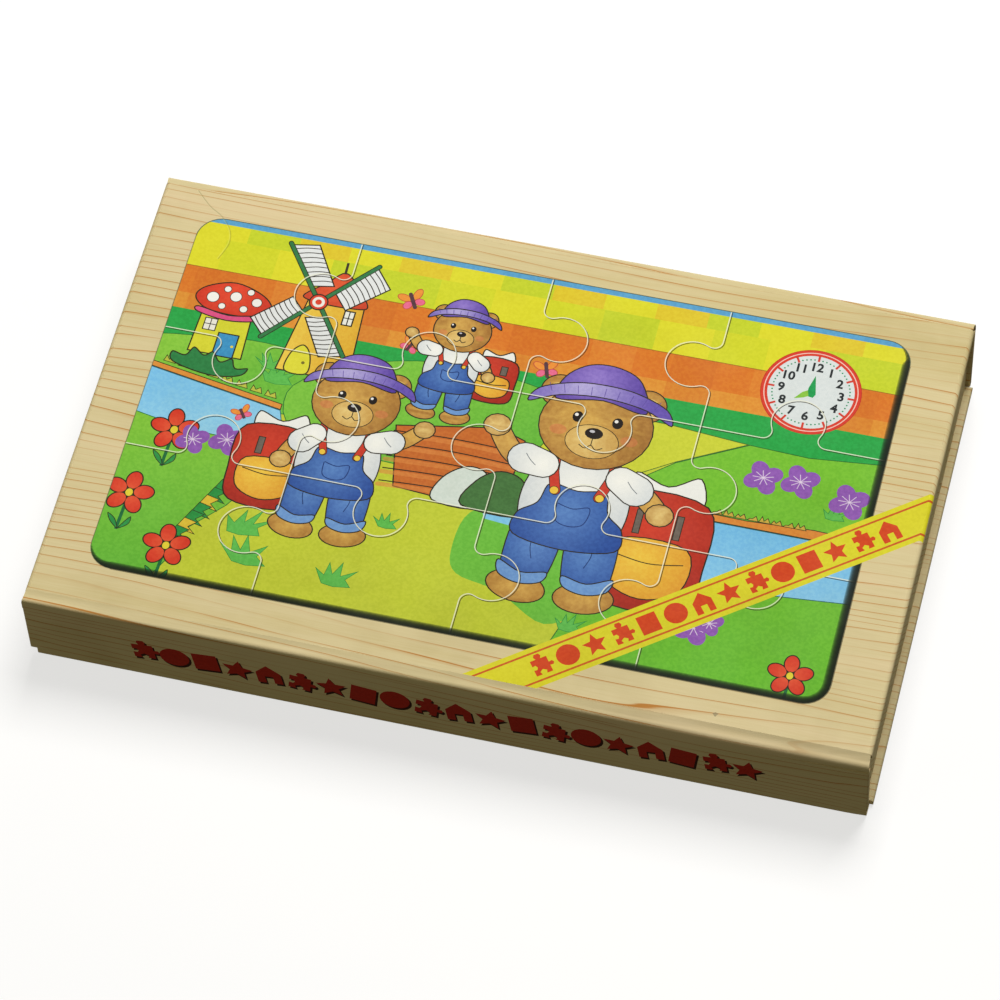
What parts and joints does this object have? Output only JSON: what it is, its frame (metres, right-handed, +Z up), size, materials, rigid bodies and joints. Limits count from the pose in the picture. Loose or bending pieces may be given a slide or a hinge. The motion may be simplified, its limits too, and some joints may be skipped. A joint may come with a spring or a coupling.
{
  "type": "boxed jigsaw puzzle",
  "caption": "Flat book-style card box with a hinged lid and closing flap, holding a framed wooden jigsaw puzzle with a printed picture.",
  "frame": {"origin": "on the table, at the centre of the closed box", "axes": "+X to the right along the spine, +Y from the spine towards the closing flap, +Z up"},
  "size_m": [0.2258, 0.14, 0.027],
  "materials": {
    "printed_paper": "glossy printed wood-grain paper on card",
    "fold_paper": "creased printed paper",
    "tray_card": "matte card",
    "plywood": "sanded plywood",
    "pine": "satin pine",
    "picture_wood": "glossy printed wood"
  },
  "bodies": {
    "base": {"base_board": "printed_paper", "tray_floor": "tray_card", "tray_left_wall": "tray_card", "tray_right_wall": "tray_card", "tray_front_wall": "tray_card", "tray_rear_wall": "tray_card"},
    "spine": {"spine_board": "printed_paper", "lid_fold": "fold_paper", "base_fold": "fold_paper"},
    "lid": {"lid_board": "printed_paper", "flap_fold": "fold_paper"},
    "flap": {"closing_flap": "printed_paper"},
    "puzzle": {"puzzle_frame": "pine", "puzzle_backing": "plywood"},
    "piece_row1_column1": {"piece_row1_column1": "picture_wood"},
    "piece_row1_column2": {"piece_row1_column2": "picture_wood"},
    "piece_row1_column3": {"piece_row1_column3": "picture_wood"},
    "piece_row1_column4": {"piece_row1_column4": "picture_wood"},
    "piece_row2_column1": {"piece_row2_column1": "picture_wood"},
    "piece_row2_column2": {"piece_row2_column2": "picture_wood"},
    "piece_row2_column3": {"piece_row2_column3": "picture_wood"},
    "piece_row2_column4": {"piece_row2_column4": "picture_wood"},
    "piece_row3_column1": {"piece_row3_column1": "picture_wood"},
    "piece_row3_column2": {"piece_row3_column2": "picture_wood"},
    "piece_row3_column3": {"piece_row3_column3": "picture_wood"},
    "piece_row3_column4": {"piece_row3_column4": "picture_wood"}
  },
  "joints": [
    {"name": "spine_opening", "type": "hinge", "parent": "base", "child": "spine", "pos_m": [0.0004, -0.0685, 0.0015], "axis": [1, 0, 0], "range_deg": [0, 90], "deforming": ["base_fold"]},
    {"name": "lid_opening", "type": "hinge", "parent": "spine", "child": "lid", "pos_m": [-0.0004, -0.0685, 0.0255], "axis": [1, 0, 0], "range_deg": [0, 90], "deforming": ["lid_fold"]},
    {"name": "flap_opening", "type": "hinge", "parent": "lid", "child": "flap", "pos_m": [-0.0004, 0.068, 0.025], "axis": [1, 0, 0], "range_deg": [0, 93], "deforming": ["flap_fold"]},
    {"name": "puzzle_lift", "type": "slide", "parent": "base", "child": "puzzle", "axis": [0, 0, 1], "range_m": [0, 0.004]},
    {"name": "piece_row1_column1_lift", "type": "slide", "parent": "puzzle", "child": "piece_row1_column1", "axis": [0, 0, 1], "range_m": [0, 0.006]},
    {"name": "piece_row1_column2_lift", "type": "slide", "parent": "puzzle", "child": "piece_row1_column2", "axis": [0, 0, 1], "range_m": [0, 0.006]},
    {"name": "piece_row1_column3_lift", "type": "slide", "parent": "puzzle", "child": "piece_row1_column3", "axis": [0, 0, 1], "range_m": [0, 0.006]},
    {"name": "piece_row1_column4_lift", "type": "slide", "parent": "puzzle", "child": "piece_row1_column4", "axis": [0, 0, 1], "range_m": [0, 0.006]},
    {"name": "piece_row2_column1_lift", "type": "slide", "parent": "puzzle", "child": "piece_row2_column1", "axis": [0, 0, 1], "range_m": [0, 0.006]},
    {"name": "piece_row2_column2_lift", "type": "slide", "parent": "puzzle", "child": "piece_row2_column2", "axis": [0, 0, 1], "range_m": [0, 0.006]},
    {"name": "piece_row2_column3_lift", "type": "slide", "parent": "puzzle", "child": "piece_row2_column3", "axis": [0, 0, 1], "range_m": [0, 0.006]},
    {"name": "piece_row2_column4_lift", "type": "slide", "parent": "puzzle", "child": "piece_row2_column4", "axis": [0, 0, 1], "range_m": [0, 0.006]},
    {"name": "piece_row3_column1_lift", "type": "slide", "parent": "puzzle", "child": "piece_row3_column1", "axis": [0, 0, 1], "range_m": [0, 0.006]},
    {"name": "piece_row3_column2_lift", "type": "slide", "parent": "puzzle", "child": "piece_row3_column2", "axis": [0, 0, 1], "range_m": [0, 0.006]},
    {"name": "piece_row3_column3_lift", "type": "slide", "parent": "puzzle", "child": "piece_row3_column3", "axis": [0, 0, 1], "range_m": [0, 0.006]},
    {"name": "piece_row3_column4_lift", "type": "slide", "parent": "puzzle", "child": "piece_row3_column4", "axis": [0, 0, 1], "range_m": [0, 0.006]}
  ]
}
